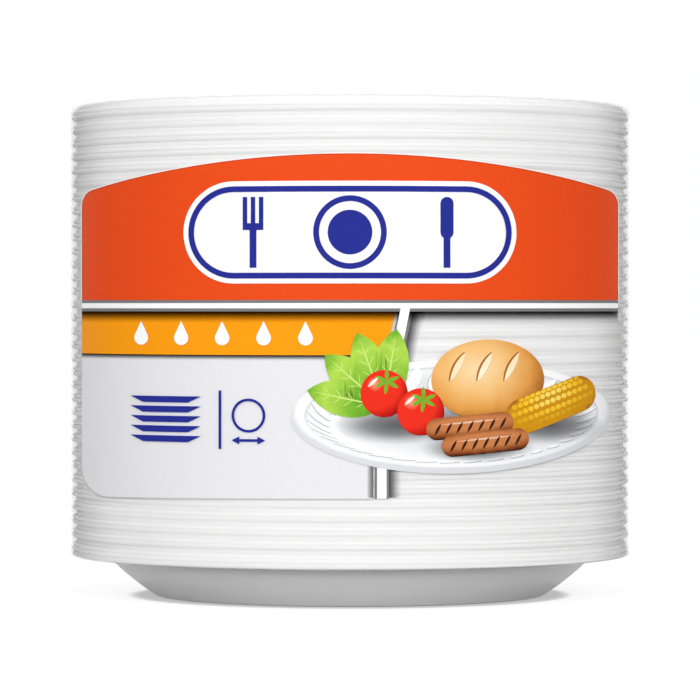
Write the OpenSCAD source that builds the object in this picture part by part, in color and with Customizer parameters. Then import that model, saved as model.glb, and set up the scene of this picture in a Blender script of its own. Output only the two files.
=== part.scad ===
/* [Plates] */
// How many plates the pack holds, always an even number
plate_count = 100; // [20:2:100]
// Outside diameter of the widest plates
plate_d = 225.4; // [215:0.2:240]
// Diameter of the flat base of a plate
base_d = 156.8; // [140:0.2:165]
// Length along the outline that the bend round the base takes on either side
base_reach = 1.6; // [1:0.1:4]
// Width of the rim, from the bend above the wall to the edge
rim_w = 15.2; // [13:0.1:22]
// Height of the bend between the wall and the rim, under the foam
wall_h = 15; // [12:0.1:24]
// How far the wall bows down between the base and the bend
wall_bow = 0.6; // [0:0.1:1.5]
// Length along the outline that the bend above the wall takes on either side
bend_reach = 3.2; // [1.5:0.1:5]
// How much the rim rises on its way out
rim_rise = 1.8; // [0.4:0.1:3]
// Thickness of the foam, measured straight up
foam_t = 1.7; // [1.3:0.1:2.4]
// Air between one plate and the next, measured straight up
nest_gap = 0.105; // [0.05:0.005:0.3]

/* [Rim edge] */
// How far in from the edge its rounding starts
edge_round = 1.3; // [0.4:0.1:2]
// How far the edge of every third plate stays back
short_trim = 1.8; // [0.6:0.1:2.2]
// How far the edge of the plate under each of those stays back
middle_trim = 0.4; // [0:0.1:0.8]
// How far the edge of the lowest plate stays back
lowest_trim = 0.2; // [0:0.1:0.5]
// Most that the trim of one plate wanders from the next
trim_wander = 0.3; // [0:0.05:0.5]

/* [Flutes of the top plate] */
// Number of flutes pressed into the wall
flute_count = 36; // [12:1:48]
// Depth of a flute, square to the wall
flute_depth = 0.6; // [0.2:0.05:0.8]
// Width of a flute across its middle
flute_w = 9; // [5:0.5:11]
// Length of a flute up the wall
flute_len = 17; // [10:0.5:19]
// Lean of a flute, seen along the wall
flute_lean = 24; // [0:1:35]

/* [Film] */
// Thickness of the film
film_t = 0.3; // [0.15:0.05:0.5]
// Room between the film and what it covers
film_gap = 0.15; // [0.1:0.05:0.4]
// Radius of the film where it turns over the top rim
film_shoulder = 3.8; // [3:0.1:4.4]
// Radius of the film where it turns under the lowest rim
film_foot = 0.8; // [0.7:0.1:1.2]
// How far the film reaches in under the lowest rim
film_hem = 9; // [6:0.5:12]
// Sag of the film over the well of the top plate
film_sag = 1.2; // [0:0.1:3]

/* [Print on the film] */
// Thickness of a printed field
print_t = 0.15; // [0.1:0.05:0.3]
// Room under each printed layer
print_gap = 0.1; // [0.05:0.05:0.2]
// Width of the whole print, straight across
print_w = 212.6; // [160:0.2:216]
// Height of the header's lower edge above the base
header_z = 119.2; // [100:0.2:124]
// Height of the header at its ends
header_end_h = 43.5; // [30:0.5:46]
// Extra height of the header's arch at the middle
header_arch = 12.2; // [4:0.1:16]
// Radius of the header's upper corners
header_corner = 6; // [2:0.5:9]
// Height of the pale line in the ruled border
rule_h = 2; // [1:0.1:4]
// Height of each grey line in the ruled border
rule_line_h = 1.2; // [0.6:0.1:2]
// Height of the amber band
band_h = 16.6; // [10:0.2:22]
// Where the upper end of the amber band lies, from the middle
band_end_x = 17.4; // [5:0.2:30]
// How far the lower end of the amber band lies back
band_slant = 4.1; // [0:0.1:8]
// Height of the pale panel
panel_h = 54.6; // [40:0.2:60]
// How far the pale panel's lower edge has crept down at the print's end as the film shrank
panel_creep = 1.7; // [0:0.1:3]
// Where the right edge of the pale panel lies, from the middle
panel_end_x = 8.4; // [0:0.2:14]
// Radius of the panel's free corner
panel_corner = 11; // [4:0.5:16]
// Width of the slanted divider with its two grey edges
divider_w = 5.4; // [3:0.1:8]
// Width of each grey edge of the divider
divider_edge = 0.9; // [0.5:0.1:1.4]
// Room between the divider and the fields to its left
divider_gap = 1; // [0.4:0.1:2]

/* [Badge on the header] */
// Width of the badge
badge_w = 128; // [90:1:140]
// Height of the badge
badge_h = 39; // [30:0.5:41]
// How far the middle of the badge lies above the header's lower edge
badge_rise = 25.8; // [22:0.2:30]
// Space between the badge's edge and its ring
badge_border = 1.9; // [1:0.1:3]
// Thickness of the badge's ring and of the dish's rim
badge_line = 2.2; // [0.8:0.1:2.6]
// Diameter of the dish drawn in the badge
dish_d = 28; // [16:0.5:29]
// Diameter of the dish's filled middle
dish_well_d = 17; // [8:0.2:19]
// Length of the fork and the knife
tool_len = 27; // [16:0.5:29]
// How far the fork and the knife lie from the middle
tool_x = 37; // [20:0.5:40]
// Thickness of the handles
handle_w = 2.6; // [1:0.1:3.5]
// Length of the fork's tines
tine_len = 10; // [5:0.2:12]
// Thickness of a tine
tine_w = 1.7; // [0.8:0.1:2]
// Distance from one tine to the next
tine_step = 3.1; // [2.4:0.1:4]
// Length of the knife's blade
blade_len = 16; // [8:0.2:18]
// Width of the knife's blade
blade_w = 5; // [2.6:0.1:6]

/* [Marks on the band and the panel] */
// Number of drops on the amber band
drop_count = 5; // [3:1:6]
// Diameter of a drop
drop_d = 5.6; // [4:0.2:7]
// Distance from a drop's middle to its point
drop_point = 6.4; // [5:0.2:8]
// Distance from one drop to the next
drop_step = 16; // [10:0.5:17]
// Number of plates drawn in the small stack on the panel
mark_count = 5; // [3:1:6]
// Width of the small stack
mark_w = 28; // [18:0.5:30]
// Height of one plate in the small stack
mark_h = 2.4; // [1.5:0.1:3]
// Space between two plates in the small stack
mark_gap = 1.4; // [0.8:0.1:2]
// How far the small stack's plates narrow towards their bases
mark_taper = 5; // [2:0.5:8]
// Where the small stack starts, from the print's left edge
mark_x = 21; // [12:0.5:24]
// How far the small stack's foot lies above the panel's lower edge
mark_z = 21; // [14:0.5:26]
// Space between the small stack and the upright line to its right
mark_line_gap = 7; // [3:0.5:8]
// Thickness of the upright line and of the width mark
mark_line = 1; // [0.6:0.1:1.6]
// Diameter of the plate drawn over the width mark
width_d = 13; // [8:0.5:15]
// Space between the upright line and the width mark
width_gap = 4; // [2:0.5:5]

/* [Pictured plate and its food] */
// Width of the pictured plate
picture_w = 125; // [80:1:126]
// Height of the pictured plate
picture_h = 43.5; // [30:0.5:48]
// Where the middle of the pictured plate lies, across
picture_x = 40; // [20:0.5:42]
// How far the middle of the pictured plate lies above the print's lower edge
picture_z = 31; // [26:0.5:40]
// Width of the loaf
loaf_w = 44; // [30:0.5:50]
// Height of the loaf
loaf_h = 31; // [20:0.5:34]
// Middle of the loaf, from the middle of the plate
loaf_at = [13, 14]; // [-40:0.5:40]
// Length of the corn cob
cob_len = 38; // [26:0.5:42]
// Thickness of the corn cob
cob_d = 14; // [9:0.5:17]
// Middle of the corn cob
cob_at = [38, 4]; // [-45:0.5:45]
// Lean of the corn cob
cob_turn = 20; // [0:1:45]
// Diameter of a tomato
tomato_d = 18; // [12:0.5:22]
// Middle of the back tomato
tomato_at = [-27, 9]; // [-40:0.5:40]
// Step from the back tomato to the front one
tomato_step = [14, -7]; // [-20:0.5:20]
// Number of leaves
leaf_count = 4; // [2:1:5]
// Length of a leaf
leaf_len = 30; // [18:0.5:34]
// Width of a leaf
leaf_w = 14; // [8:0.5:18]
// Where the leaves start
leaf_at = [-27, 4]; // [-40:0.5:40]
// Direction of the lowest leaf
leaf_turn = 168; // [140:1:175]
// Turn from one leaf to the next
leaf_fan = -29; // [-40:1:-15]
// Length of a sausage
sausage_len = 34; // [22:0.5:40]
// Thickness of a sausage
sausage_d = 8.4; // [6:0.2:11]
// Middle of the front sausage
sausage_at = [12, -10]; // [-30:0.5:30]
// Step from the front sausage to the back one
sausage_step = [-6, 6.4]; // [-12:0.2:12]
// Lean of the sausages
sausage_turn = 5; // [-20:1:20]

/* [Hidden] */
$fn = 96;
plate_r = plate_d / 2;
base_r = base_d / 2;
pitch = foam_t + nest_gap;
shoulder_r = plate_r - rim_w;
rim_z = wall_h + rim_rise;
stack_z = (plate_count - 1) * pitch;
pair_count = plate_count / 2;
wall_angle = atan2(wall_h, shoulder_r - base_r);
wall_len = norm([shoulder_r - base_r, wall_h]);
edge_steps = 4;
wall_steps = 2;
bend_steps = 3;
arc_steps = 6;
arch_steps = 32;
sag_steps = 4;
trims = [short_trim, 0, middle_trim];
base_steps = 2;
// An angle that never falls into step with the pattern of the trims
wander_turn = 137.5;

film_in_r = plate_r + film_gap;
film_r = film_in_r + film_t;
// The plates nearest to either end of the pack are short ones, so the film turns inside the widest rims
film_top = rim_z + stack_z + foam_t + film_gap + film_t;
hem_r = plate_r - film_hem;
film_under = film_gap + film_t;

rule_top = header_z - rule_line_h;
band_top = rule_top - rule_h - rule_line_h;
panel_top = band_top - band_h;
print_bottom = panel_top - panel_h;
header_top = header_z + header_end_h;
badge_z = header_z + badge_rise;
plate_art_z = print_bottom + picture_z;
// Small overlap that fuses the strokes of one mark
fuse = 0.2;

function pair_name(i) =
    let (low = 2 * i - 1, high = 2 * i)
    str("plates_", low < 10 ? "0" : "", low, "_", high < 10 ? "0" : "", high);

// A point on the curve from a to b that a corner c pulls towards itself
function curve(a, c, b, t) = (1 - t) * (1 - t) * a + 2 * t * (1 - t) * c + t * t * b;

// Points on a circle's arc from angle a to angle b
function arc(middle, r, a, b, steps) =
    [for (s = [0 : steps])
        let (turn = a + (b - a) * s / steps)
        middle + r * [cos(turn), sin(turn)]];

// Height of the rim's underside at radius r, outside the bend
function rim_under(r) = wall_h + rim_rise * (r - shoulder_r) / rim_w;

// Radius at which plate k is trimmed
function edge_r(k) =
    plate_r - (k == 0 ? lowest_trim : trims[k % 3] + trim_wander * pow(sin(k * wander_turn), 2));

// The underside from the base to the rim: the bend round the base, the bowed wall, the bend to the rim
function under_line() =
    let (
        foot = [base_r, 0],
        corner = [shoulder_r, wall_h],
        up = (corner - foot) / wall_len,
        wall_start = foot + base_reach * up,
        wall_end = corner - bend_reach * up,
        rim_start = corner + bend_reach * [rim_w, rim_rise] / norm([rim_w, rim_rise]),
        pull = (wall_start + wall_end) / 2 - [0, 2 * wall_bow]
    )
    concat(
        [for (s = [0 : base_steps - 1]) curve(foot - [base_reach, 0], foot, wall_start, s / base_steps)],
        [for (s = [0 : wall_steps - 1]) curve(wall_start, pull, wall_end, s / wall_steps)],
        [for (s = [0 : bend_steps]) curve(wall_end, corner, rim_start, s / bend_steps)]
    );

// The rounded edge of a rim trimmed at radius r, from its underside to its upper face
function edge_line(r) =
    let (
        start = r - edge_round,
        middle_z = rim_under(start) + foam_t / 2
    )
    [for (s = [0 : edge_steps])
        let (a = -90 + 180 * s / edge_steps)
        [start + edge_round * cos(a), middle_z + foam_t / 2 * sin(a)]];

// The section of a plate trimmed at radius r, one foam thickness high from the base to the rounded edge
module plate_section(r) {
    line = under_line();
    last = len(line) - 1;
    polygon(concat(
        [[0, 0]],
        line,
        edge_line(r),
        [for (i = [last : -1 : 0]) line[i] + [0, foam_t]],
        [[0, foam_t]]
    ));
}

// One flute is the shallow bite of a cylinder that lies along the wall, leaning to one side
module flute_cutters() {
    bite_r = (flute_w * flute_w / 4 + flute_depth * flute_depth) / (2 * flute_depth);
    middle_r = (base_r + shoulder_r) / 2;
    middle_z = wall_h / 2 - wall_bow / 2 + foam_t;
    for (i = [0 : flute_count - 1]) {
        rotate([0, 0, i * 360 / flute_count])
            translate([middle_r, 0, middle_z])
                rotate([0, -wall_angle, 0])
                    rotate([0, 0, flute_lean])
                        translate([0, 0, bite_r - flute_depth])
                            rotate([0, 90, 0])
                                cylinder(r = bite_r, h = flute_len, center = true);
    }
}

module plate(k) {
    translate([0, 0, k * pitch]) {
        difference() {
            rotate_extrude()
                plate_section(edge_r(k));
            if (k == plate_count - 1) {
                flute_cutters();
            }
        }
    }
}

module plate_pair(i) {
    color("white") {
        plate(2 * i - 2);
        plate(2 * i - 1);
    }
}

// One side of the film, moved in by a given amount: hem, lower turn, wall, shoulder, sagging top
function film_line(inset) =
    let (
        r = film_r - inset,
        foot = film_foot - inset,
        shoulder = film_shoulder - inset,
        top = film_top - inset,
        low = rim_under(r - foot) - film_under + inset
    )
    concat(
        [[hem_r, rim_under(hem_r) - film_under + inset]],
        arc([r - foot, low + foot], foot, -90, 0, arc_steps),
        arc([r - shoulder, top - shoulder], shoulder, 0, 90, arc_steps),
        [for (s = [1 : sag_steps])
            let (t = s / sag_steps)
            [shoulder_r * (1 - t), top - film_sag * (1 - pow(1 - t, 2))]]
    );

module film() {
    outside = film_line(0);
    inside = film_line(film_t);
    color([0.93, 0.95, 0.97, 0.35])
        rotate_extrude()
            polygon(concat(outside, [for (i = [len(inside) - 1 : -1 : 0]) inside[i]]));
}

// Bends a drawing, as seen from the front with its height above the base, round the film
module wrap(layer) {
    inner = film_r + print_gap + layer * (print_t + print_gap);
    outer = inner + print_t;
    intersection() {
        difference() {
            cylinder(r = outer, h = film_top);
            translate([0, 0, -1])
                cylinder(r = inner, h = film_top + 2);
        }
        rotate([90, 0, 0])
            linear_extrude(height = outer + 1)
                children();
    }
}

function oval(w, h, steps = 40) =
    [for (s = [0 : steps - 1])
        let (a = 360 * s / steps)
        [w / 2 * cos(a), h / 2 * sin(a)]];

module pill(w, h) {
    translate([-(w - h) / 2, 0])
        circle(d = h);
    translate([(w - h) / 2, 0])
        circle(d = h);
    square([w - h, h], center = true);
}

// A rectangle from corner a to corner b
module field(a, b) {
    translate(a)
        square(b - a);
}

module print_header() {
    half = print_w / 2;
    corner = [half - header_corner, header_top - header_corner];
    // The arch runs smoothly into both corners, so its circle touches theirs from outside
    reach = header_arch + header_corner;
    arch_r = (reach * reach + corner.x * corner.x - header_corner * header_corner) / (2 * header_arch);
    arch_z = header_top + header_arch - arch_r;
    meet = atan2(corner.y - arch_z, corner.x);
    color([0.93, 0.32, 0.14])
        wrap(0)
            polygon(concat(
                [[-half, header_z], [half, header_z]],
                arc(corner, header_corner, 0, meet, arc_steps),
                arc([0, arch_z], arch_r, meet, 180 - meet, arch_steps),
                arc([-corner.x, corner.y], header_corner, 180 - meet, 180, arc_steps)
            ));
}

// The divider leans like the end of the band and then drops straight to the lower edge; its sides can
// be moved in by a given amount, and its upper end lies at a given height
module divider(inset, top) {
    elbow_z = print_bottom + panel_h / 2;
    upper_x = band_end_x + divider_gap;
    lower_x = panel_end_x + divider_gap;
    polygon([
        [upper_x + inset, top],
        [upper_x + divider_w - inset, top],
        [lower_x + divider_w - inset, elbow_z],
        [lower_x + divider_w - inset, print_bottom],
        [lower_x + inset, print_bottom],
        [lower_x + inset, elbow_z]
    ]);
}

// A grey border under the header, and the grey divider; both have a white strip over their middle
module print_rules() {
    color([0.55, 0.57, 0.6])
        wrap(0) {
            field([-print_w / 2, band_top], [print_w / 2, header_z - print_gap]);
            divider(0, band_top + fuse);
        }
}

module print_band() {
    color([0.97, 0.61, 0.11])
        wrap(0)
            polygon([
                [-print_w / 2, panel_top],
                [band_end_x - band_slant, panel_top],
                [band_end_x, band_top - print_gap],
                [-print_w / 2, band_top - print_gap]
            ]);
}

// Height of the panel's lower edge, x from the middle
function panel_low(x) = print_bottom - panel_creep * pow(2 * x / print_w, 2);

module print_panel() {
    left = -print_w / 2;
    corner_x = left + panel_corner;
    color([0.91, 0.91, 0.92])
        wrap(0)
            polygon(concat(
                [[panel_end_x, panel_top - print_gap], [left, panel_top - print_gap]],
                arc([corner_x, panel_low(corner_x) + panel_corner], panel_corner, 180, 270, arc_steps),
                [for (s = [1 : arch_steps / 2])
                    let (x = corner_x + (panel_end_x - corner_x) * 2 * s / arch_steps)
                    [x, panel_low(x)]]
            ));
}

module print_badge() {
    color("white")
        wrap(1)
            translate([0, badge_z])
                pill(badge_w, badge_h);
}

module drop() {
    drop_r = drop_d / 2;
    // Where the straight sides of the point leave the round part
    leave = asin(drop_r / drop_point);
    circle(r = drop_r);
    polygon([
        drop_r * [-cos(leave), sin(leave)],
        drop_r * [cos(leave), sin(leave)],
        [0, drop_point]
    ]);
}

// The white strips of the border and the divider, and small drops in a row on the amber band
module print_marks_white() {
    row_x = (panel_end_x - print_w / 2) / 2;
    row_z = panel_top + band_h / 2 - (drop_point - drop_d / 2) / 2;
    color("white")
        wrap(1) {
            field([-print_w / 2, rule_top - rule_h], [print_w / 2, rule_top]);
            divider(divider_edge, rule_top - rule_h + fuse);
            for (i = [0 : drop_count - 1]) {
                translate([row_x + (i - (drop_count - 1) / 2) * drop_step, row_z])
                    drop();
            }
        }
}

module fork() {
    tine_z = tool_len / 2 - tine_len;
    root_w = 2 * tine_step + tine_w;
    field([-handle_w / 2, -tool_len / 2], [handle_w / 2, tine_z - fuse]);
    field([-root_w / 2, tine_z - handle_w], [root_w / 2, tine_z]);
    for (side = [-1, 0, 1]) {
        translate([side * tine_step, tine_z - fuse])
            field([-tine_w / 2, 0], [tine_w / 2, tine_len + fuse]);
    }
}

module knife() {
    field([-handle_w / 2, -tool_len / 2], [handle_w / 2, tool_len / 2 - blade_len + blade_w / 2]);
    translate([0, (tool_len - blade_len) / 2])
        rotate(90)
            pill(blade_len, blade_w);
}

// A small stack of plates in side view, with an upright line to its right
module stack_mark() {
    stack_h = mark_count * (mark_h + mark_gap) - mark_gap;
    for (i = [0 : mark_count - 1]) {
        translate([0, i * (mark_h + mark_gap)])
            polygon([[0, mark_h], [mark_w, mark_h], [mark_w - mark_taper, 0], [mark_taper, 0]]);
    }
    field([mark_w + mark_line_gap, -mark_h], [mark_w + mark_line_gap + mark_line, stack_h + mark_h]);
}

// A plate from above, over a line with an arrow head at either end
module width_mark() {
    head = 3 * mark_line;
    difference() {
        circle(d = width_d);
        circle(d = width_d - 2 * mark_line);
    }
    translate([0, -width_d / 2 - head]) {
        square([width_d - 2 * head + fuse, mark_line], center = true);
        for (side = [-1, 1]) {
            polygon([
                [side * width_d / 2, 0],
                [side * (width_d / 2 - head), head / 2],
                [side * (width_d / 2 - head), -head / 2]
            ]);
        }
    }
}

// The badge's ring, with a dish, a fork and a knife inside it, and the marks on the panel
module print_marks_blue() {
    ring_w = badge_w - 2 * badge_border;
    ring_h = badge_h - 2 * badge_border;
    marks_at = [mark_x - print_w / 2, print_bottom + mark_z];
    width_x = mark_w + mark_line_gap + mark_line + width_gap + width_d / 2;
    color([0.18, 0.21, 0.57])
        wrap(2) {
            translate([0, badge_z]) {
                difference() {
                    pill(ring_w, ring_h);
                    pill(ring_w - 2 * badge_line, ring_h - 2 * badge_line);
                }
                difference() {
                    circle(d = dish_d);
                    circle(d = dish_d - 2 * badge_line);
                }
                circle(d = dish_well_d);
                translate([-tool_x, 0])
                    fork();
                translate([tool_x, 0])
                    knife();
            }
            translate(marks_at) {
                stack_mark();
                translate([width_x, mark_count * (mark_h + mark_gap) / 2 + mark_line])
                    width_mark();
            }
        }
}

// The pictured plate lies over the panel and the divider
module print_picture_plate() {
    color([0.97, 0.97, 0.97])
        wrap(2)
            translate([picture_x, plate_art_z])
                polygon(oval(picture_w, picture_h));
}

// A pointed leaf from the origin, the overlap of two circles
module leaf() {
    leaf_r = (leaf_len * leaf_len + leaf_w * leaf_w) / (4 * leaf_w);
    translate([leaf_len / 2, 0])
        intersection_for (side = [-1, 1]) {
            translate([0, side * (leaf_r - leaf_w / 2)])
                circle(r = leaf_r);
        }
}

// The food on the pictured plate as plain fields: leaves, tomatoes, a loaf, a corn cob and sausages
module print_picture_food() {
    color([0.85, 0.6, 0.25])
        wrap(3)
            translate([picture_x, plate_art_z]) {
                for (i = [0 : leaf_count - 1]) {
                    translate(leaf_at)
                        rotate(leaf_turn + i * leaf_fan)
                            leaf();
                }
                for (i = [0, 1]) {
                    translate(tomato_at + i * tomato_step)
                        circle(d = tomato_d);
                    translate(sausage_at + i * sausage_step)
                        rotate(sausage_turn)
                            pill(sausage_len, sausage_d);
                }
                translate(loaf_at)
                    polygon(oval(loaf_w, loaf_h));
                translate(cob_at)
                    rotate(cob_turn)
                        pill(cob_len, cob_d);
            }
}

for (i = [1 : pair_count]) {
    plate_pair(i);
}
film();
print_header();
print_band();
print_panel();
print_rules();
print_badge();
print_marks_white();
print_marks_blue();
print_picture_plate();
print_picture_food();
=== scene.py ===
import math
import random

import bmesh
import bpy
import numpy as np
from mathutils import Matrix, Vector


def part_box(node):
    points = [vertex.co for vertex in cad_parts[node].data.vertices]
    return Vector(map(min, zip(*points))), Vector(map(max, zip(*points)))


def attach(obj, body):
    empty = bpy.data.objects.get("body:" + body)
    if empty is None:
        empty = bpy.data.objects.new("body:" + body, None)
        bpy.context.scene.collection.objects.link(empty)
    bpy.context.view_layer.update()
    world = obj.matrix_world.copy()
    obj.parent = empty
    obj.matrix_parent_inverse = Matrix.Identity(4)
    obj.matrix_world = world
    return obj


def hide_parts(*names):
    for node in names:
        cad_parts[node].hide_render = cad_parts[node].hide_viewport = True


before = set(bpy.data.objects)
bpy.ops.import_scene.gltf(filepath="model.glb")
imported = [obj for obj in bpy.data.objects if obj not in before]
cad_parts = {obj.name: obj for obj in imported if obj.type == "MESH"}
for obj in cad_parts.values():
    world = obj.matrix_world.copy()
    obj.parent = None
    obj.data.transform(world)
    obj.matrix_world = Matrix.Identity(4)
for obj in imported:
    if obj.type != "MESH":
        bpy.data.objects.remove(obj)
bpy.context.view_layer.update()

# The camera stands about 1.8 m in front of the pack, a little above its middle, on a long lens.
# It looks level but for half a degree, so the lowest rims bow down and the top ones bow up.
mm = 0.001
photo_px = 700
eye_distance = 1822 * mm
eye_height = 116.9 * mm
lens_px = 4495
horizon_px = 306
camera = bpy.data.objects.new("camera", bpy.data.cameras.new("camera"))
camera.data.sensor_width = 36
camera.data.lens = lens_px / photo_px * camera.data.sensor_width
camera.data.clip_start = 0.1
camera.data.clip_end = 50
camera.location = (0, -eye_distance, eye_height)
look_down = math.atan((photo_px / 2 - horizon_px) / lens_px)
camera.rotation_euler = (math.pi / 2 - look_down, 0, 0)
bpy.context.scene.collection.objects.link(camera)
bpy.context.scene.camera = camera


# The plates: a hundred discs of white polystyrene foam, each pressed warm between two moulds and cut
# out with a rounded edge. They nest so closely that only the edges of the rims show.
plate_r = 112.7 * mm
base_r = 78.4 * mm
base_reach = 1.6 * mm
rim_w = 15.2 * mm
wall_h = 15 * mm
wall_bow = 0.6 * mm
bend_reach = 3.2 * mm
rim_rise = 1.8 * mm
foam_t = 1.7 * mm
edge_round = 1.3 * mm
trims = (1.8 * mm, 0, 0.4 * mm)
trim_wander = 0.3 * mm
lowest_trim = 0.2 * mm
wander_turn = math.radians(137.5)
slow_waves = (0.3 * mm, 0.2 * mm)
own_wave = 0.03 * mm
pushes = (0.12 * mm, 0.08 * mm)
shoulder_r = plate_r - rim_w
rim_z = wall_h + rim_rise
pairs = sorted(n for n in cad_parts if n.startswith("plates_"))
plate_count = 2 * len(pairs)
pitch = (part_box(pairs[1])[0].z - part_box(pairs[0])[0].z) / 2
dice = random.Random(11)


def curve(a, c, b, t):
    """A point on the curve from a to b that the corner c pulls towards itself."""
    return (1 - t) ** 2 * a + 2 * t * (1 - t) * c + t * t * b


def under_line(base_steps, wall_steps, bend_steps):
    """The underside of a plate from its base to its rim, as (radius, height) points."""
    foot, corner, rim = np.array([[base_r, 0], [shoulder_r, wall_h], [plate_r, rim_z]])
    up = (corner - foot) / np.linalg.norm(corner - foot)
    inward, wall_start, wall_end = foot - (base_reach, 0), foot + base_reach * up, corner - bend_reach * up
    rim_start = corner + bend_reach * (rim - corner) / np.linalg.norm(rim - corner)
    pull = (wall_start + wall_end) / 2 - np.array([0, 2 * wall_bow])
    line = [curve(inward, foot, wall_start, s / base_steps) for s in range(base_steps)]
    line += [curve(wall_start, pull, wall_end, s / wall_steps) for s in range(wall_steps)]
    return line + [curve(wall_end, corner, rim_start, s / bend_steps) for s in range(bend_steps + 1)]


def edge_line(r, steps):
    """The rounded edge of a rim trimmed at radius r, from its underside to its upper face."""
    start = r - edge_round
    middle_z = wall_h + rim_rise * (start - shoulder_r) / rim_w + foam_t / 2
    turns = [math.radians(-90 + 180 * s / steps) for s in range(steps + 1)]
    return [(start + edge_round * math.cos(a), middle_z + foam_t / 2 * math.sin(a)) for a in turns]


def plate_line(r, base_steps, wall_steps, bend_steps, edge_steps):
    """The whole section of a plate, from the edge of its base round to the edge of its well's floor."""
    under = under_line(base_steps, wall_steps, bend_steps)
    over = [p + np.array([0, foam_t]) for p in reversed(under)]
    return np.array([*under, *edge_line(r, edge_steps), *over])


def turned(line, turns):
    """Rings of points, one for each point of the line, swept round the pack's axis."""
    angle = np.arange(turns) * 2 * math.pi / turns
    line = np.asarray(line)
    rings = np.empty((len(line), turns, 3))
    rings[:, :, 0] = line[:, 0, None] * np.cos(angle)
    rings[:, :, 1] = line[:, 0, None] * np.sin(angle)
    rings[:, :, 2] = line[:, 1, None]
    return rings, angle


def ring_faces(count, turns, start=0):
    """Faces between neighbouring rings, each a closed loop of the same number of points."""
    faces = []
    for i in range(count - 1):
        a, b = start + i * turns, start + (i + 1) * turns
        faces += [(a + j, a + (j + 1) % turns, b + (j + 1) % turns, b + j) for j in range(turns)]
    return faces


def cap_faces(first, turns, middle, up):
    """A fan from one ring to a point in its middle."""
    fan = [(first + j, first + (j + 1) % turns, middle) for j in range(turns)]
    return fan if up else [f[::-1] for f in fan]


def mesh_piece(name, points, faces, material, replaced=(), sharp=math.radians(40)):
    """A named piece of the pack, smooth but for its real edges."""
    mesh = bpy.data.meshes.new(name)
    mesh.from_pydata(np.asarray(points).tolist(), [], faces)
    mesh.polygons.foreach_set("use_smooth", [True] * len(mesh.polygons))
    mesh.set_sharp_from_angle(angle=sharp)
    mesh.materials.append(material)
    piece = bpy.data.objects.new(name, mesh)
    bpy.context.scene.collection.objects.link(piece)
    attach(piece, "root")
    if replaced:
        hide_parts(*replaced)
    return piece


def new_material(name):
    """An empty node material and a helper that adds one node with its settings and inputs."""
    material = bpy.data.materials.new(name)
    material.use_nodes = True
    tree = material.node_tree
    tree.nodes.clear()

    def add(kind, settings=None, **inputs):
        node = tree.nodes.new(kind)
        for key, value in (settings or {}).items():
            setattr(node, key, value)
        for key, value in inputs.items():
            socket = node.inputs[key.replace("_", " ")]
            if isinstance(value, bpy.types.NodeSocket):
                tree.links.new(value, socket)
            else:
                socket.default_value = value
        return node

    return material, add


def foam_material():
    """White foam skin: fine pressed cells in the bump, and a very slight mottle in the colour."""
    material, add = new_material("foam_skin")
    place = add("ShaderNodeTexCoord").outputs["Object"]
    mottle = add("ShaderNodeTexNoise", Vector=place, Scale=140, Detail=3).outputs["Fac"]
    tone = add("ShaderNodeMix", {"data_type": "RGBA"}, Factor=mottle,
               A=(0.94, 0.94, 0.938, 1), B=(0.975, 0.975, 0.975, 1))
    cells = add("ShaderNodeTexVoronoi", Vector=place, Scale=1300).outputs["Distance"]
    bump = add("ShaderNodeBump", Height=cells, Strength=0.12, Distance=0.0002)
    shader = add("ShaderNodeBsdfPrincipled", Roughness=0.35, Specular_IOR_Level=0.35,
                 Base_Color=tone.outputs["Result"], Normal=bump.outputs["Normal"])
    add("ShaderNodeOutputMaterial", Surface=shader.outputs["BSDF"])
    return material


foam = foam_material()


def plate_points(k, turns, steps):
    """One plate of the stack, its rim a little out of true and its edge a little uneven."""
    trim = trims[k % 3] + trim_wander * math.sin(k * wander_turn) ** 2 if k else lowest_trim
    line = plate_line(plate_r - trim, *steps)
    rings, angle = turned(line, turns)
    radius = np.broadcast_to(line[:, 0, None], (len(line), turns))
    rim_share = np.clip((radius - shoulder_r) / rim_w, 0, 1)
    phase = [dice.uniform(0, 2 * math.pi) for _ in range(3)]
    # All rims share one slow wave, so they stay nested, and each is pushed in a little in places
    slow = slow_waves[0] * np.sin(2 * angle + 0.05 * k) + slow_waves[1] * np.sin(3 * angle - 0.09 * k)
    own = own_wave * np.sin(5 * angle + phase[0])
    inward = pushes[0] * (1 + np.sin(angle + phase[1])) + pushes[1] * (1 + np.sin(4 * angle + phase[2]))
    rings[:, :, 2] += rim_share**2 * (slow + own)
    scale = 1 - rim_share**4 * inward / radius
    rings[:, :, 0] *= scale
    rings[:, :, 1] *= scale
    rings[:, :, 2] += k * pitch
    return rings


def plate_faces(count, turns, start):
    """Faces of one plate whose rings begin at start, with its two middle points after them."""
    bottom, top = start + count * turns, start + count * turns + 1
    faces = ring_faces(count, turns, start)
    faces += cap_faces(start, turns, bottom, False)
    faces += cap_faces(start + (count - 1) * turns, turns, top, True)
    return faces


flute_count = 36
flute_depth = 0.6 * mm
flute_w = 9 * mm
flute_len = 17 * mm
flute_lean = math.radians(24)
flute_curl = 0.35
flute_end = 2 * mm


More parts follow.
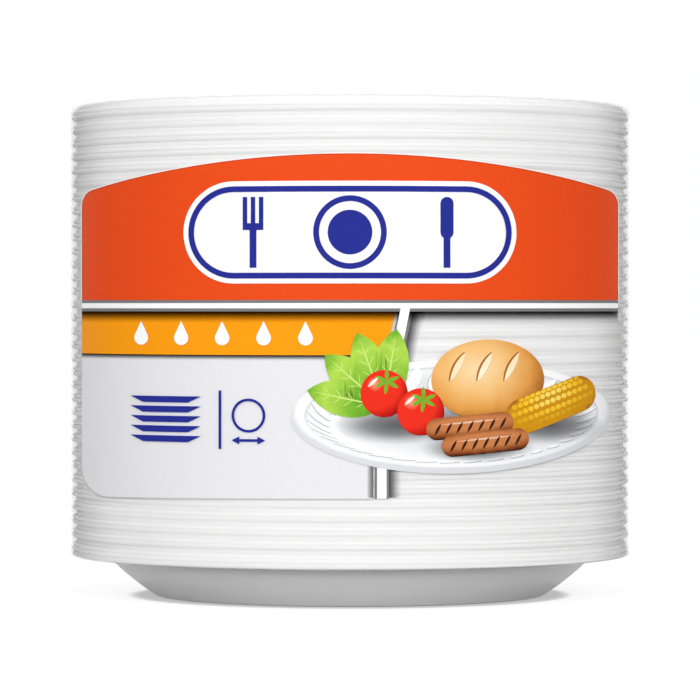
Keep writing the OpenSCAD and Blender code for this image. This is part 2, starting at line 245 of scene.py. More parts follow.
def press_flutes(rings, first, last):
    """Sinks the leaning flutes into the wall between two rings of the upper face."""
    middle_r = (base_r + shoulder_r) / 2
    slope = math.atan2(wall_h, shoulder_r - base_r)
    for i in range(first, last):
        x, y = rings[i, :, 0], rings[i, :, 1]
        radius = np.hypot(x, y)
        angle = np.arctan2(y, x)
        along = (radius - middle_r) / math.cos(slope)
        turn = 2 * math.pi / flute_count
        lean = along * math.tan(flute_lean) * (1 + flute_curl * along / flute_len)
        off = ((angle - lean / middle_r) / turn + 0.5) % 1 - 0.5
        across = off * turn * radius / (flute_w / 2)
        ends = np.clip((flute_len / 2 - np.abs(along)) / flute_end, 0, 1)
        depth = flute_depth * np.clip(1 - across**2, 0, 1) ** 0.8 * ends
        rings[i, :, 2] -= depth * math.cos(slope)
        outward = depth * math.sin(slope) / radius
        rings[i, :, 0] *= 1 + outward
        rings[i, :, 1] *= 1 + outward


for number, pair in enumerate(pairs):
    points, faces = [], []
    for k in (2 * number, 2 * number + 1):
        shown_from_below, shown_from_above = k == 0, k == plate_count - 1
        # Points round the axis, and steps along the base, the wall, the bend and the edge
        turns, steps = 144, (1, 2, 3, 6)
        if shown_from_below:
            turns, steps = 288, (6, 10, 8, 8)
        if shown_from_above:
            turns, steps = 576, (3, 14, 6, 8)
        rings = plate_points(k, turns, steps)
        count = len(rings)
        if shown_from_above:
            press_flutes(rings, count - 1 - sum(steps[:3]), count)
        faces += plate_faces(count, turns, len(points))
        points += rings.reshape(-1, 3).tolist()
        points += [(0, 0, k * pitch), (0, 0, k * pitch + foam_t)]
    mesh_piece("foam_" + pair, points, faces, foam, [pair], math.radians(30))


# The film: clear polyethylene drawn down over the stack as a bag and shrunk in an oven. It is taut over
# the well of the top plate, straight from rim to rim, and gathered under the lowest rim at its mouth.
film_low, film_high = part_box("film")
film_off = 0.35 * mm
film_r = plate_r + film_off
film_wall = 0.1 * mm
film_shoulder = 3.8 * mm
film_foot = 0.8 * mm
film_under = 0.45 * mm
film_hem = 9 * mm
hem_r = plate_r - film_hem
film_sag = 1.2 * mm
film_dips = (0.45 * mm, 0.0, 0.12 * mm)
film_clear = 0.6 * mm
film_turns = 360
gather_h = 3 * mm
gather_w = 8 * mm
mouth_gather = 0.12 * mm
top_gather = 0.1 * mm
mouth_pull = 0.5 * mm
mouth_edge = 4 * mm
smooth_step = {"interpolation_type": "SMOOTHSTEP"}


def film_material():
    """Thin clear film, milky from shrinking, that clears where seen at a slant; its colour greys there as
    painted shade.
    """
    material, add = new_material("shrink_film")
    link = material.node_tree.links.new
    place = add("ShaderNodeTexCoord").outputs["Object"]
    stretch = add("ShaderNodeMapping", Vector=place, Scale=(7, 7, 170)).outputs["Vector"]
    ripple = add("ShaderNodeTexNoise", Vector=stretch, Scale=1, Detail=3).outputs["Fac"]
    bump = add("ShaderNodeBump", Height=ripple, Strength=0.3, Distance=0.0006).outputs["Normal"]
    slant = add("ShaderNodeLayerWeight", Blend=0.5).outputs["Facing"]
    milk = add("ShaderNodeMapRange", smooth_step, Value=slant,
               From_Min=0.66, From_Max=0.94, To_Min=0.68, To_Max=0.15)
    uneven = add("ShaderNodeMapRange", Value=ripple,
                 From_Min=0.4, From_Max=0.7, To_Min=0.9, To_Max=1.1)
    veil = add("ShaderNodeMath", {"operation": "MULTIPLY", "use_clamp": True})
    link(milk.outputs["Result"], veil.inputs[0])
    link(uneven.outputs["Result"], veil.inputs[1])
    # What has come in through the outer face goes out through the inner one unchanged
    front = add("ShaderNodeMath", {"operation": "SUBTRACT"})
    front.inputs[0].default_value = 1
    link(add("ShaderNodeNewGeometry").outputs["Backfacing"], front.inputs[1])
    shown = add("ShaderNodeMath", {"operation": "MULTIPLY"})
    link(veil.outputs["Value"], shown.inputs[0])
    link(front.outputs["Value"], shown.inputs[1])
    # Painted shade: the film's colour darkens where it is seen at a slant, for darker sides and a grey top
    # edge
    grey = add("ShaderNodeMapRange", smooth_step, Value=slant,
               From_Min=0.45, From_Max=0.8, To_Min=0.96, To_Max=0.62)
    clear = add("ShaderNodeBsdfTransparent")
    skin = add("ShaderNodeBsdfPrincipled", Roughness=0.3, Specular_IOR_Level=0.08,
               Base_Color=grey.outputs["Result"], Normal=bump)
    mix = add("ShaderNodeMixShader", Fac=shown.outputs["Value"])
    link(clear.outputs["BSDF"], mix.inputs[1])
    link(skin.outputs["BSDF"], mix.inputs[2])
    add("ShaderNodeOutputMaterial", Surface=mix.outputs["Shader"])
    return material


def film_line(inset):
    """One side of the film from its hem to the middle of its top, as (radius, height) points."""
    r, top = film_r - inset, film_high.z - inset
    foot, shoulder = film_foot - inset, film_shoulder - inset

    def low(at):
        return wall_h + rim_rise * (at - shoulder_r) / rim_w - film_under + inset

    line = [(hem_r + t * (r - foot - hem_r), low(hem_r + t * (r - foot - hem_r))) for t in (0, 0.35, 0.7)]
    for s in range(7):
        a = math.radians(-90 + 15 * s)
        line.append((r - foot + foot * math.cos(a), low(r - foot) + foot + foot * math.sin(a)))
    # Between the turns the film runs from edge to edge, and sinks a little over each short plate
    for k in range(1, plate_count - 2):
        z = wall_h + rim_rise * (rim_w - edge_round) / rim_w + k * pitch + foam_t / 2
        if line[-1][1] + film_clear < z < top - shoulder - film_clear:
            line.append((r - film_dips[k % 3], z))
    for s in range(7):
        a = math.radians(15 * s)
        line.append((r - shoulder + shoulder * math.cos(a), top - shoulder + shoulder * math.sin(a)))
    for s in range(1, 14):
        t = s / 14
        line.append((shoulder_r * (1 - t), top - film_sag * (1 - (1 - t) ** 2)))
    return line


def film_rings(inset):
    """The film's side with the small gathers that shrinking leaves at its mouth and over its top."""
    line = np.array(film_line(inset))
    rings, angle = turned(line, film_turns)
    r, z = line[:, 0, None], line[:, 1, None]
    pleats = np.sin(31 * angle + 2 * np.sin(3 * angle)) * (0.6 + 0.4 * np.sin(5 * angle + 1))
    fine = np.sin(67 * angle + 3 * np.sin(2 * angle + 1))
    mouth = np.clip((film_low.z + gather_h - z) / gather_h, 0, 1) * np.clip((film_r - r) / gather_w, 0, 1)
    over = np.clip((z - film_high.z + gather_h) / gather_h, 0, 1) * np.clip(r / film_r, 0, 1) ** 3
    over = over * np.clip((film_r - r) / gather_h, 0, 1)
    rings[:, :, 2] += mouth * mouth_gather * (pleats + 0.6 * fine - 1.2)
    rings[:, :, 2] -= over * top_gather * (1.6 + pleats + 0.6 * fine)
    edge = np.clip(1 - (r - hem_r) / mouth_edge, 0, 1) * (z < film_low.z + mm)
    pull = 1 + edge * mouth_pull * (pleats + 0.5 * fine) / r
    rings[:, :, 0] *= pull
    rings[:, :, 1] *= pull
    return rings


film_out, film_in = film_rings(0), film_rings(film_wall)
count = len(film_out)
points = np.concatenate([film_out.reshape(-1, 3), film_in.reshape(-1, 3)]).tolist()
inner = count * film_turns
points += [(0, 0, film_high.z - film_sag), (0, 0, film_high.z - film_sag - film_wall)]
faces = ring_faces(count, film_turns)
faces += [f[::-1] for f in ring_faces(count, film_turns, inner)]
faces += cap_faces(inner - film_turns, film_turns, len(points) - 2, True)
faces += cap_faces(2 * inner - film_turns, film_turns, len(points) - 1, False)
faces += [(j, inner + j, inner + (j + 1) % film_turns, (j + 1) % film_turns) for j in range(film_turns)]
mesh_piece("shrink_film", points, faces, film_material(), ["film"])


# The print: inks laid on the outside of the film, and so as smooth as the film is. Each field has one
# colour of ink, a trace uneven from the roller.
ink_rough, ink_shine = 0.35, 0.01


def ink(name, colour):
    """One ink of an even colour."""
    material, add = new_material(name)
    place = add("ShaderNodeTexCoord").outputs["Object"]
    roller = add("ShaderNodeTexNoise", Vector=place, Scale=900, Detail=2).outputs["Fac"]
    level = add("ShaderNodeMapRange", Value=roller, To_Min=0.96, To_Max=1.04).outputs["Result"]
    laid = add("ShaderNodeVectorMath", {"operation": "SCALE"}, Scale=level)
    laid.inputs[0].default_value = colour
    grain = add("ShaderNodeBump", Height=roller, Strength=0.05, Distance=0.0001)
    shader = add("ShaderNodeBsdfPrincipled", Roughness=ink_rough, Specular_IOR_Level=ink_shine,
                 Base_Color=laid.outputs["Vector"], Normal=grain.outputs["Normal"])
    add("ShaderNodeOutputMaterial", Surface=shader.outputs["BSDF"])
    return material


band_low, band_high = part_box("print_band")
white_ink = ink("ink_white", (0.95, 0.95, 0.95))
blue_ink = ink("ink_blue", (0.022, 0.03, 0.27))
inks = {
    "print_header": ink("ink_orange", (0.77, 0.073, 0.013)),
    "print_band": ink("ink_amber", (0.92, 0.325, 0.008)),
    "print_panel": ink("ink_pale", (0.755, 0.75, 0.775)),
    "print_rules": ink("ink_grey", (0.2, 0.2, 0.21)),
    "print_badge": white_ink,
    "print_marks_white": white_ink,
    "print_marks_blue": blue_ink,
}
for field, laid in inks.items():
    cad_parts[field].data.materials.clear()
    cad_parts[field].data.materials.append(laid)


# The edges of the print: a pale line where the white under the inks shows round the header, a darker
# line of overprint inside it, and a grey line along the panel's foot. All are printed on the film.
print_t = 0.15 * mm
print_gap = 0.1 * mm
print_off = 0.1 * mm
ink_step = 0.0125 * mm
ink_t = 0.8 * ink_step
column_turn = math.radians(1)


def laid_r(layer):
    """Inner radius of one printed layer."""
    return film_r + print_off + print_gap + layer * (print_t + print_gap)


def lay(sheet, outline, radius, thick, index):
    """Adds one flat shape, given in mm as seen from the front, bent round the film at a radius."""
    flat = bmesh.new()
    flat.faces.new([flat.verts.new((x * mm, 0, z * mm)) for x, z in outline])
    bmesh.ops.triangulate(flat, faces=flat.faces[:])
    reach = [math.asin(v.co.x / radius) / column_turn for v in flat.verts]
    for column in range(math.ceil(min(reach)), math.floor(max(reach)) + 1):
        parts = flat.verts[:] + flat.edges[:] + flat.faces[:]
        x = radius * math.sin(column * column_turn)
        bmesh.ops.bisect_plane(flat, geom=parts, plane_co=(x, 0, 0), plane_no=(1, 0, 0))
    fresh = bmesh.ops.extrude_face_region(flat, geom=flat.faces[:], use_keep_orig=True)["geom"]
    fresh = {v for v in fresh if isinstance(v, bmesh.types.BMVert)}
    for v in flat.verts:
        r = radius + (thick if v in fresh else 0)
        v.co.y = -math.sqrt(r * r - v.co.x**2)
    bmesh.ops.recalc_face_normals(flat, faces=flat.faces[:])
    held = {}
    for v in flat.verts:
        held[v] = sheet.verts.new(v.co)
    for f in flat.faces:
        sheet.faces.new([held[v] for v in f.verts]).material_index = index
    flat.free()


def printed(name, shapes, layer, replaced=()):
    """One printed piece of several shapes, each given as outline, ink and how many steps it lies up."""
    sheet = bmesh.new()
    inks_used = []
    for outline, laid, steps in shapes:
        if laid not in inks_used:
            inks_used.append(laid)
        radius = laid_r(layer) + steps * ink_step
        lay(sheet, outline, radius, ink_t, inks_used.index(laid))
    mesh = bpy.data.meshes.new(name)
    sheet.to_mesh(mesh)
    sheet.free()
    for laid in inks_used:
        mesh.materials.append(laid)
    piece = bpy.data.objects.new(name, mesh)
    bpy.context.scene.collection.objects.link(piece)
    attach(piece, "root")
    if replaced:
        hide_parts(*replaced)
    return piece


header_low, header_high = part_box("print_header")
panel_low, panel_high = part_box("print_panel")
print_half = header_high.x / mm
header_corner = 6
header_arch = 12.2
header_end_z = header_high.z / mm - header_arch


def arc(x, z, r, start, end, steps):
    """Points on a circle's arc, in mm and degrees."""
    turns = [math.radians(start + (end - start) * s / steps) for s in range(steps + 1)]
    return [(x + r * math.cos(a), z + r * math.sin(a)) for a in turns]


def header_arch_line(out):
    """The header's arch with its two corners, moved out by so many mm."""
    corner_x, corner_z = print_half - header_corner, header_end_z - header_corner
    reach = header_arch + header_corner
    arch_r = (reach**2 + corner_x**2 - header_corner**2) / (2 * header_arch)
    arch_z = header_end_z + header_arch - arch_r
    meet = math.degrees(math.atan2(corner_z - arch_z, corner_x))
    line = [(print_half + out, header_low.z / mm)]
    line += arc(corner_x, corner_z, header_corner + out, 0, meet, 8)
    line += arc(0, arch_z, arch_r + out, meet, 180 - meet, 64)[1:]
    line += arc(-corner_x, corner_z, header_corner + out, 180 - meet, 180, 8)[1:]
    return line + [(-print_half - out, header_low.z / mm)]


def strip(outer, inner):
    """The quads between two lines of as many points."""
    return [(outer[i], outer[i + 1], inner[i + 1], inner[i]) for i in range(len(outer) - 1)]


panel_creep = 1.7
panel_corner = 11
panel_right = panel_high.x / mm


def panel_foot(drop):
    """The panel's lower edge from its rounded corner to its right end, moved down by so many mm."""
    middle_z = panel_low.z / mm + panel_creep * ((print_half - panel_corner) / print_half) ** 2

    def foot_z(x):
        return middle_z - panel_creep * (x / print_half) ** 2

    corner_x = panel_corner - print_half
    line = arc(corner_x, foot_z(corner_x) + panel_corner, panel_corner + drop, 180, 270, 12)
    steps = [corner_x + (panel_right - corner_x) * s / 12 for s in range(1, 13)]
    return line + [(x, foot_z(x) - drop) for x in steps]


halo_ink = ink("ink_halo", (0.85, 0.82, 0.81))
overprint_ink = ink("ink_overprint", (0.55, 0.05, 0.01))
hairline_ink = ink("ink_hairline", (0.55, 0.55, 0.56))
halo_w, overprint_w, hairline_w, edge_gap = 0.45, 0.35, 0.4, 0.02
# So many steps up, a shape lies clear of a field of the print, or of the tints on it too
over_field, over_tint = 13, 15
edges = [(quad, halo_ink, 0) for quad in strip(header_arch_line(halo_w), header_arch_line(edge_gap))]
edges += [(quad, overprint_ink, over_field)
          for quad in strip(header_arch_line(0), header_arch_line(-overprint_w))]
edges += [(quad, hairline_ink, 0) for quad in strip(panel_foot(edge_gap), panel_foot(hairline_w))]
printed("print_edges", edges, 0)


# Grey tints fade out under the border, beside the divider and under the amber band, as if the strips
# stood a little proud. They are a clear grey ink, so what lies under them shows through.
def tint(name, at, size, turn, tones, mottle=0.0):
    """Clear ink that lets less light through near one place, over a size."""
    material, add = new_material(name)
    away = distance_node(material, add, at, size, turn, mottle, 400)
    ramp = ramp_node(add, away, tones)
    shader = add("ShaderNodeBsdfTransparent", Color=ramp.outputs["Color"])
    add("ShaderNodeOutputMaterial", Surface=shader.outputs["BSDF"])
    return material


def distance_node(material, add, at, size, turn, mottle, grain):
    """How far a point of the print lies from one place, as a share of a size, with a mottle."""
    link = material.node_tree.links.new
    place = add("ShaderNodeTexCoord").outputs["Object"]
    local = add("ShaderNodeMapping", {"vector_type": "TEXTURE"}, Vector=place,
                Location=(at[0] * mm, 0, at[1] * mm), Rotation=(0, -math.radians(turn), 0),
                Scale=(size[0] * mm, 1000, size[1] * mm))
    away = add("ShaderNodeVectorMath", {"operation": "LENGTH"})
    link(local.outputs["Vector"], away.inputs[0])
    noise = add("ShaderNodeTexNoise", Vector=place, Scale=grain, Detail=3).outputs["Fac"]
    shift = add("ShaderNodeMapRange", Value=noise, To_Min=-mottle, To_Max=mottle)
    both = add("ShaderNodeMath", {"operation": "ADD"})
    link(away.outputs["Value"], both.inputs[0])
    link(shift.outputs["Result"], both.inputs[1])
    return both.outputs["Value"]


def ramp_node(add, value, tones):
    """A colour ramp with a stop for each tone, a grey level or a colour."""
    ramp = add("ShaderNodeValToRGB", Fac=value)
    stops = ramp.color_ramp.elements
    while len(stops) < len(tones):
        stops.new(0.5)
    for stop, (where, tone) in zip(stops, tones):
        stop.position = where
        stop.color = (*tone, 1) if isinstance(tone, tuple) else (tone, tone, tone, 1)
    return ramp


def box_outline(left, right, top, bottom):
    """An upright box, in mm."""
    return [(left, top), (right, top), (right, bottom), (left, bottom)]


seam = 0.1
band_top = band_high.z / mm + seam
band_foot = band_low.z / mm
band_slope = 0.247
band_end_x = band_high.x / mm
divider_x = (band_end_x + 1, 9.4)
divider_w = 5.4
elbow_z = panel_low.z / mm + (band_low.z - panel_low.z) / mm / 2
divider_foot = panel_low.z / mm + panel_creep
lean = math.degrees(math.atan2(divider_x[0] - divider_x[1], band_top - elbow_z))
fade = [(0, 0.26), (0.12, 0.42), (0.4, 0.7), (0.75, 0.92), (1, 1.0)]
side_fade = [(0, 0.55), (0.3, 0.7), (0.65, 0.88), (1, 1.0)]
far = 1e5
border_fade, divider_fade, band_fade, panel_fade = 4.4, 4.6, 2.2, 2.4
divider_tint_w = 5
panel_tint = (6.4, 8.8)
right_top, right_elbow = divider_x[0] + divider_w, divider_x[1] + divider_w
foot_x = band_end_x - (band_high.z - band_low.z) / mm * band_slope
under_rule = tint("tint_border", (0, band_top), (far, border_fade), 0, fade)
beside_upper = tint("tint_divider_upper", (right_top, band_top), (divider_fade, far), -lean, side_fade)
beside_lower = tint("tint_divider_lower", (right_elbow, 0), (divider_fade, far), 0, side_fade)
under_band = tint("tint_band", (0, band_foot - seam), (far, band_fade), 0,
                  [(0, 0.4), (0.25, 0.62), (0.7, 0.94), (1, 1.0)])
panel_edge = tint("tint_panel", (panel_tint[1], 0), (panel_fade, far), 0, [(0, 0.62), (1, 1.0)])
beside_outline = [(right_top, band_top), (right_top + divider_tint_w, band_top),
                  (right_elbow + divider_tint_w, elbow_z), (right_elbow, elbow_z)]
tints = [
    (box_outline(-print_half, print_half, band_top, band_top - border_fade), under_rule, over_tint),
    (beside_outline, beside_upper, over_field),
    (box_outline(right_elbow, right_elbow + divider_tint_w, elbow_z, divider_foot),
     beside_lower, over_field),
    (box_outline(-print_half, foot_x, band_foot, band_foot - band_fade), under_band, over_field),
    (box_outline(*panel_tint, elbow_z, divider_foot), panel_edge, over_field),
]
printed("print_tints", tints, 0)


# The picture: a meal on a white plate, in the colours of bread, greens, tomato and corn. It is built of
# flat shapes of ink, each laid over the last, and the larger shapes run from a lit side to a shaded one.
def picture_ink(name, at, size, turn, tones, mottle=0.1, grain=400):
    """Ink that runs through its tones from one place outwards, over a size, with a mottle."""
    material, add = new_material(name)
    away = distance_node(material, add, at, size, turn, mottle, grain)
    ramp = ramp_node(add, away, tones)
    shader = add("ShaderNodeBsdfPrincipled", Roughness=ink_rough, Specular_IOR_Level=ink_shine,
                 Base_Color=ramp.outputs["Color"])
    add("ShaderNodeOutputMaterial", Surface=shader.outputs["BSDF"])
    return material


art_low, art_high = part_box("print_picture_plate")
art_x = (art_low.x + art_high.x) / 2 / mm
art_z = (art_low.z + art_high.z) / 2 / mm
art_w = (art_high.x - art_low.x) / mm
art_h = (art_high.z - art_low.z) / mm


def oval(w, h, x=0.0, z=0.0, steps=64):
    """An oval round a place given from the middle of the pictured plate."""
    turns = [2 * math.pi * s / steps for s in range(steps)]
    return [(art_x + x + w / 2 * math.cos(a), art_z + z + h / 2 * math.sin(a)) for a in turns]


def moved(points, at, turn):
    """Points turned by an angle and moved from the middle of the pictured plate."""
    c, s = math.cos(math.radians(turn)), math.sin(math.radians(turn))
    return [(art_x + at[0] + x * c - z * s, art_z + at[1] + x * s + z * c) for x, z in points]


def lens(length, width, at, turn, steps=10):
    """A pointed leaf or stroke that starts at a place and runs off at an angle."""
    r = (length**2 + width**2) / (4 * width)
    half = math.degrees(math.asin(length / 2 / r))
    low = arc(length / 2, r - width / 2, r, -90 - half, -90 + half, steps)
    high = arc(length / 2, width / 2 - r, r, 90 - half, 90 + half, steps)
    return moved(low[:-1] + high[:-1], at, turn)


def pill(length, width, at, turn):
    """A bar with round ends."""
    flat = (length - width) / 2
    ends = arc(flat, 0, width / 2, -90, 90, 12) + arc(-flat, 0, width / 2, 90, 270, 12)
    return moved(ends, at, turn)


def from_middle(at):
    """A place on the print, given from the middle of the pictured plate."""
    return (art_x + at[0], art_z + at[1])


white, paper = (0.93, 0.93, 0.94), (0.84, 0.84, 0.86)
cloud, slate = (0.66, 0.67, 0.7), (0.42, 0.43, 0.46)
brim_w, brim_d, brim_z = 0.92 * art_w, 0.86 * art_h, 0.55
floor_w, floor_d, floor_z = 0.79 * art_w, 0.64 * art_h, -3.6
rim_ink = picture_ink("picture_rim", from_middle((0, 2)), (art_w / 2, art_h / 2), 0,
                      [(0, white), (0.9, white), (0.97, paper), (1.03, cloud)], 0.01)
bend_ink = picture_ink("picture_bend", from_middle((0, 0)), (brim_w / 2, brim_d / 2), 0,
                       [(0, cloud), (0.8, (0.72, 0.73, 0.75)), (0.97, paper), (1, cloud)], 0.01)
well_ink = picture_ink("picture_well", from_middle((4, -3)), (floor_w / 2, floor_d / 2), 0,
                       [(0, cloud), (0.6, (0.7, 0.71, 0.74)), (0.95, paper), (1, white)], 0.02)
dent_ink = picture_ink("picture_dent", from_middle((0, 0)), (art_w / 2, art_h / 2), 0,
                       [(0, slate), (0.8, (0.48, 0.49, 0.52)), (1, (0.6, 0.61, 0.63))], 0.02)
plate_shapes = [
    (oval(art_w, art_h), rim_ink, 0),
    (oval(brim_w, brim_d, 0, brim_z), bend_ink, 1),
    (oval(floor_w, floor_d, 0, floor_z), well_ink, 2),
]


def flute(turn, share, shift):
    """One flute of the pictured plate, from its rim down to its floor, seen as slanted as the plate."""
    outer = (brim_w / 2 * math.cos(turn) * 0.985, brim_z + brim_d / 2 * math.sin(turn) * 0.985)
    lean = turn + 0.11
    inner = (floor_w / 2 * math.cos(lean) * 0.97, floor_z + floor_d / 2 * math.sin(lean) * 0.97)
    step = 2 * math.pi / flute_count * share / 2
    across = (-(brim_w + floor_w) / 4 * math.sin(turn) * step,
              (brim_d + floor_d) / 4 * math.cos(turn) * step)
    line = []
    for side, run in ((1, range(9)), (-1, range(8, -1, -1))):
        for u in run:
            wide = side * math.sin(math.pi * (0.04 + 0.92 * u / 8)) ** 0.8
            x = outer[0] + (inner[0] - outer[0]) * u / 8 + across[0] * wide + shift[0]
            z = outer[1] + (inner[1] - outer[1]) * u / 8 + across[1] * wide + shift[1]
            line.append((art_x + x, art_z + z))
    return line


for s in range(flute_count):
    turn = 2 * math.pi * (s + 0.5) / flute_count
    lit_side = -0.3 * math.copysign(1, math.cos(turn))
    plate_shapes.append((flute(turn, 0.66, (0, 0)), dent_ink, 3))
    plate_shapes.append((flute(turn, 0.6, (lit_side, 0.32)), white_ink, 4))
cast = [(0, 0.62), (0.45, 0.74), (0.8, 0.93), (1, 1.0)]
# The shadow under each food: its place, its width and its height
casts = ((13, 1, 50, 16), (38, -4, 44, 15), (-22, -3, 52, 15), (9, -12, 46, 12))
for number, (x, z, w, h) in enumerate(casts):
    cast_ink = tint("tint_food_%d" % number, from_middle((x, z)), (w / 2, h / 2), 0, cast, 0.02)
    plate_shapes.append((oval(w, h, x, z), cast_ink, 6 + number))
printed("printed_plate", plate_shapes, 2, ["print_picture_plate"])

loaf_w, loaf_h, loaf_at = 44, 31, (13, 14)
cob_len, cob_d, cob_at, cob_turn = 38, 14, (38, 4), 20
tomato_d, tomato_at, tomato_step = 18, (-27, 9), (14, -7)
leaf_count, leaf_len, leaf_w, leaf_at, leaf_turn, leaf_fan = 4, 30, 14, (-27, 4), 168, -29
sausage_len, sausage_d, sausage_at, sausage_step, sausage_turn = 34, 8.4, (12, -10), (-6, 6.4), 5
cream, crumb, gold, crust = (0.9, 0.68, 0.4), (0.86, 0.52, 0.2), (0.72, 0.32, 0.07), (0.36, 0.12, 0.02)
lime, green, moss = (0.42, 0.66, 0.08), (0.16, 0.42, 0.03), (0.04, 0.2, 0.01)
rose, red, wine = (0.95, 0.3, 0.18), (0.78, 0.03, 0.015), (0.35, 0.005, 0.005)
butter, yellow, amber = (0.96, 0.78, 0.2), (0.9, 0.56, 0.03), (0.6, 0.28, 0.01)
meat, brown, char = (0.55, 0.2, 0.07), (0.26, 0.07, 0.02), (0.05, 0.015, 0.008)
food_shapes = []


def add_leaf(number):
    """One green leaf with its midrib and side veins."""
    turn = leaf_turn + number * leaf_fan
    leaf_ink = picture_ink("picture_leaf_%d" % number, from_middle(leaf_at), (leaf_len, leaf_len), 0,
                           [(0, moss), (0.35, green), (0.75, lime), (1, green)], 0.16, 260)
    food_shapes.append((lens(leaf_len, leaf_w, leaf_at, turn), leaf_ink, 0))
    food_shapes.append((lens(0.92 * leaf_len, 0.7, leaf_at, turn, 6), lime_ink, 1))
    c, s = math.cos(math.radians(turn)), math.sin(math.radians(turn))
    for along in (0.25, 0.4, 0.55, 0.7):
        root = (leaf_at[0] + along * leaf_len * c, leaf_at[1] + along * leaf_len * s)
        for side in (-1, 1):
            reach = 0.36 * leaf_w * (1 - abs(along - 0.45))
            food_shapes.append((lens(reach, 0.35, root, turn + side * 42, 4), lime_ink, 1))


def add_tomato(number):
    """One tomato with its shine and its green star."""
    at = (tomato_at[0] + number * tomato_step[0], tomato_at[1] + number * tomato_step[1])
    lit = (at[0] - 0.2 * tomato_d, at[1] + 0.2 * tomato_d)
    skin = picture_ink("picture_tomato_%d" % number, from_middle(lit),
                       (0.75 * tomato_d, 0.75 * tomato_d), 0,
                       [(0, rose), (0.22, red), (0.7, red), (1, wine)], 0.03)
    up = 5 + 2 * number
    food_shapes.append((oval(tomato_d, tomato_d, *at), skin, up))
    food_shapes.append((lens(0.3 * tomato_d, 1.3, (lit[0] - 2.6, lit[1] - 1), 42), shine_ink, up + 1))
    star = (at[0] + 0.06 * tomato_d, at[1] + 0.26 * tomato_d)
    for turn in (20, 92, 158, 205, 262, 330):
        food_shapes.append((lens(0.28 * tomato_d, 1.6, star, turn, 5), stalk_ink, up + 1))


def add_loaf():
    """A round loaf with slanting cuts in its crust and a dusting of flour."""
    lit = (loaf_at[0] - 4, loaf_at[1] + 4)
    skin = picture_ink("picture_loaf", from_middle(lit), (0.62 * loaf_w, 0.66 * loaf_h), 0,
                       [(0, cream), (0.4, crumb), (0.75, gold), (1, crust)], 0.1, 150)
    cut_ink = picture_ink("picture_cut", from_middle(loaf_at), (0.5 * loaf_w, 0.5 * loaf_h), 0,
                          [(0, (0.97, 0.86, 0.64)), (1, cream)], 0.2, 500)
    food_shapes.append((oval(loaf_w, loaf_h, *loaf_at), skin, 2))
    for across in (-0.28, -0.04, 0.2):
        start = (loaf_at[0] + across * loaf_w - 3, loaf_at[1] - 0.02 * loaf_h)
        food_shapes.append((lens(0.42 * loaf_h, 3.4, start, 62), crust_ink, 3))
        food_shapes.append((lens(0.4 * loaf_h, 2.5, (start[0] + 0.5, start[1] + 0.2), 62), cut_ink, 4))


def add_cob():
    """A corn cob with rows of kernels."""
    c, s = math.cos(math.radians(cob_turn)), math.sin(math.radians(cob_turn))
    body = picture_ink("picture_cob", from_middle(cob_at), (0.6 * cob_len, 0.6 * cob_d), cob_turn,
                       [(0, amber), (0.8, amber), (1, crust)], 0.05)
    kernel = picture_ink("picture_kernel", from_middle((cob_at[0], cob_at[1] + 3)),
                         (0.55 * cob_len, 0.6 * cob_d), cob_turn,
                         [(0, butter), (0.5, yellow), (1, amber)], 0.12, 500)
    food_shapes.append((pill(cob_len, cob_d, cob_at, cob_turn), body, 5))
    rows, step = 6, 2.35
    for row in range(rows):
        off = (row - (rows - 1) / 2) / (rows / 2)
        v = 0.94 * cob_d / 2 * math.sin(off * math.pi / 2 * 0.94)
        tall = 2.3 * math.cos(off * 1.15)
        reach = cob_len / 2 - cob_d / 2 + math.sqrt(max((cob_d / 2) ** 2 - v * v, 0)) - 1.3
        count = int(reach / step)
        for i in range(-count, count + 1):
            u = i * step + (row % 2) * step / 2
            if abs(u) < reach:
                at = (cob_at[0] + u * c - v * s, cob_at[1] + u * s + v * c)
                food_shapes.append((pill(2.1, min(tall, 1.9), at, cob_turn), kernel, 6))


def add_sausage(number):
    """One grilled sausage with its shine and dark bars from the grill."""
    at = (sausage_at[0] + number * sausage_step[0], sausage_at[1] + number * sausage_step[1])
    up = 11 - 2 * number
    skin = picture_ink("picture_sausage_%d" % number, from_middle((at[0], at[1] + 1)),
                       (0.9 * sausage_len, 0.62 * sausage_d), sausage_turn,
                       [(0, meat), (0.45, meat), (0.8, brown), (1, char)], 0.1, 300)
    food_shapes.append((pill(sausage_len, sausage_d, at, sausage_turn), skin, up))
    for i in range(-3, 4):
        start = (at[0] + i * 4.2 - 1.2, at[1] + i * 4.2 * math.sin(math.radians(sausage_turn)) - 2.6)
        food_shapes.append((lens(0.66 * sausage_d, 1.1, start, 62, 4), char_ink, up + 1))
    shine = (at[0] - 0.36 * sausage_len, at[1] + 0.2 * sausage_d - 1.2)
    food_shapes.append((lens(0.72 * sausage_len, 0.7, shine, sausage_turn, 6), glint_ink, up + 1))


lime_ink = ink("picture_vein", (0.55, 0.75, 0.2))
shine_ink = ink("picture_shine", (0.97, 0.78, 0.7))
stalk_ink = ink("picture_stalk", green)
crust_ink = ink("picture_crust", crust)
char_ink = ink("picture_char", char)
glint_ink = ink("picture_glint", (0.78, 0.5, 0.34))
for number in range(leaf_count):
    add_leaf(number)
add_loaf()
add_cob()
for number in (0, 1):
    add_tomato(number)
for number in (1, 0):
    add_sausage(number)
printed("printed_meal", food_shapes, 3, ["print_picture_food"])


# The floor is a plain pale sheet that runs far past the pack. It keeps the pack's soft shadow, and shows
# white to the camera and in what reflects it or lets it through.
floor_half = 9
floor_grey = 0.3
floor_glow = 0.82
shade_reach = 7 * mm


def seen_rays(add, link):
    """One where a ray comes from the camera, a reflection or through something clear, and else nothing."""
    path = add("ShaderNodeLightPath")
    seen = path.outputs["Is Camera Ray"]
    for kind in ("Is Glossy Ray", "Is Transmission Ray"):
        either = add("ShaderNodeMath", {"operation": "MAXIMUM"})
        link(seen, either.inputs[0])
        link(path.outputs[kind], either.inputs[1])
        seen = either.outputs["Value"]
    return seen


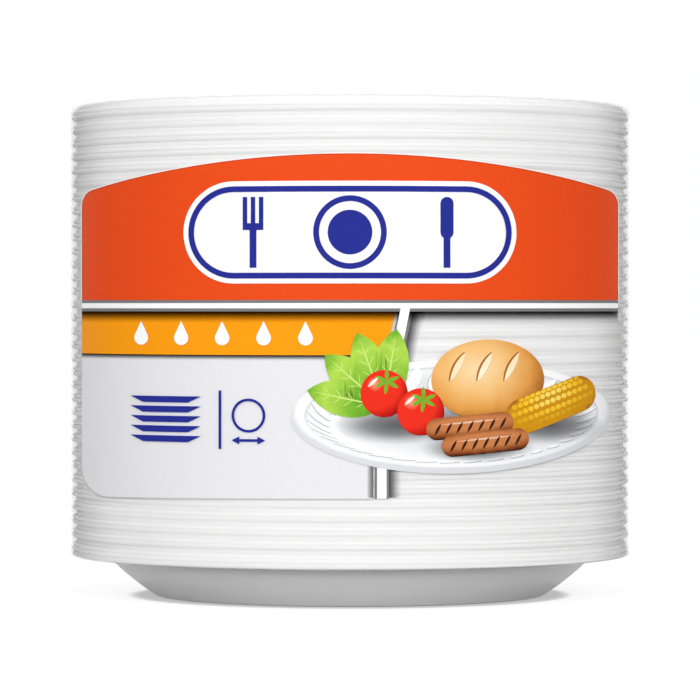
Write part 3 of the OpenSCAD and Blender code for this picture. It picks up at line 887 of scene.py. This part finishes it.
def floor_material():
    """Pale and matt, with white added where it is seen to reach the background, less a painted shadow at
    the pack's foot.
    """
    material, add = new_material("studio_floor")
    link = material.node_tree.links.new
    matt = add("ShaderNodeBsdfDiffuse", Color=(floor_grey, floor_grey, floor_grey, 1))
    # Painted contact shadow: an occlusion mask dims the added white right round the foot of the pack,
    # under its edge
    near = add("ShaderNodeAmbientOcclusion", {"samples": 8}, Distance=shade_reach).outputs["AO"]
    painted_shadow_share = add("ShaderNodeMapRange", Value=near, From_Min=0.45, From_Max=1, To_Min=0.5, To_Max=1)
    strength = add("ShaderNodeMath", {"operation": "MULTIPLY"})
    link(painted_shadow_share.outputs["Result"], strength.inputs[0])
    link(seen_rays(add, link), strength.inputs[1])
    glow = add("ShaderNodeEmission", Color=(floor_glow, floor_glow, floor_glow, 1),
               Strength=strength.outputs["Value"])
    both = add("ShaderNodeAddShader")
    link(matt.outputs["BSDF"], both.inputs[0])
    link(glow.outputs["Emission"], both.inputs[1])
    add("ShaderNodeOutputMaterial", Surface=both.outputs["Shader"])
    material.cycles.emission_sampling = "NONE"
    return material


floor_mesh = bpy.data.meshes.new("floor")
corners = [(x * floor_half, y * floor_half, 0) for x, y in ((-1, -1), (1, -1), (1, 1), (-1, 1))]
floor_mesh.from_pydata(corners, [], [(0, 1, 2, 3)])
floor_mesh.materials.append(floor_material())
floor = bpy.data.objects.new("floor", floor_mesh)
bpy.context.scene.collection.objects.link(floor)

# The light comes from all round, as in a tent of white cloth: most of it comes low from straight in
# front, some comes from high up at both sides, and some from behind.
tent = (
    # Axis, side, strength, how far towards that side the cloth starts and is fully lit, and its share of
    # light near the floor and high up
    ("Y", -1, 4.7, 0.5, 0.95, 1.0, 0.3),
    ("X", -1, 2.1, 0.3, 0.8, 0.12, 1.0),
    ("X", 1, 2.1, 0.3, 0.8, 0.12, 1.0),
    ("Y", 1, 1.0, 0.3, 0.8, 1.0, 0.3),
)
high_start, high_full = 0.2, 0.7
world = bpy.data.worlds.new("studio")
bpy.context.scene.world = world
world.use_nodes = True
world.node_tree.nodes.clear()


def add_world(kind, settings=None, *inputs):
    """One node of the world, with its settings and its inputs in order."""
    node = world.node_tree.nodes.new(kind)
    for key, value in (settings or {}).items():
        setattr(node, key, value)
    for socket, value in zip(node.inputs, inputs):
        if isinstance(value, bpy.types.NodeSocket):
            world.node_tree.links.new(value, socket)
        else:
            socket.default_value = value
    return node


def sums(operation, a, b):
    """The result of one sum in the world's nodes."""
    return add_world("ShaderNodeMath", {"operation": operation}, a, b).outputs["Value"]


way = add_world("ShaderNodeSeparateXYZ", None, add_world("ShaderNodeTexCoord").outputs["Generated"])
light = 0.0
for axis, side, strength, start, full, share_low, share_high in tent:
    facing = sums("MULTIPLY", way.outputs[axis], side)
    cloth = add_world("ShaderNodeMapRange", smooth_step, facing, start, full, 0.0, strength)
    share = add_world("ShaderNodeMapRange", smooth_step, way.outputs["Z"],
                      high_start, high_full, share_low, share_high)
    light = sums("ADD", light, sums("MULTIPLY", cloth.outputs["Result"], share.outputs["Result"]))
seen = seen_rays(add_world, world.node_tree.links.new)
unseen = sums("SUBTRACT", 1.0, seen)
strength = sums("ADD", sums("MULTIPLY", light, unseen), seen)
sky = add_world("ShaderNodeBackground", None, (1, 1, 1, 1), strength)
add_world("ShaderNodeOutputWorld", None, sky.outputs["Background"])

bpy.context.scene.view_settings.view_transform = "Standard"
